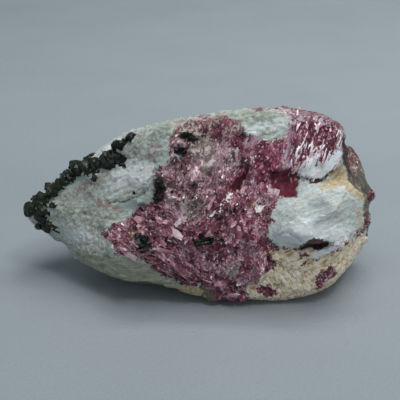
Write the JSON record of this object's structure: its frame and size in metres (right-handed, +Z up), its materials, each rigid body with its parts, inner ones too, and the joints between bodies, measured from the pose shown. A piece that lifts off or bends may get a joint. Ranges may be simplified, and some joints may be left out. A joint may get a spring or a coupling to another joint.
{
  "type": "raw lepidolite specimen",
  "caption": "Rough hand specimen of pink lepidolite mica in pale feldspar, with smoky quartz and black tourmaline, resting on a flat foot.",
  "frame": {"origin": "centre of the stone's footprint box, on the surface it rests on", "axes": "+X along the stone from its thin end to its thick end, +Y from the mica face to the back, +Z up"},
  "size_m": [0.1034, 0.0576, 0.0559],
  "materials": {
    "stone": "rough broken rock: pale greenish-white feldspar, pink mica, tan weathered feldspar",
    "mica": "pink to crimson mica plates with a pearly glint",
    "feldspar": "pale bladed feldspar, dull to slightly pearly",
    "tourmaline": "glossy black to dark green prisms",
    "quartz": "smoky grey-brown quartz with a glassy break"
  },
  "bodies": {
    "root": {"lepidolite_stone": "stone"}
  },
  "joints": []
}
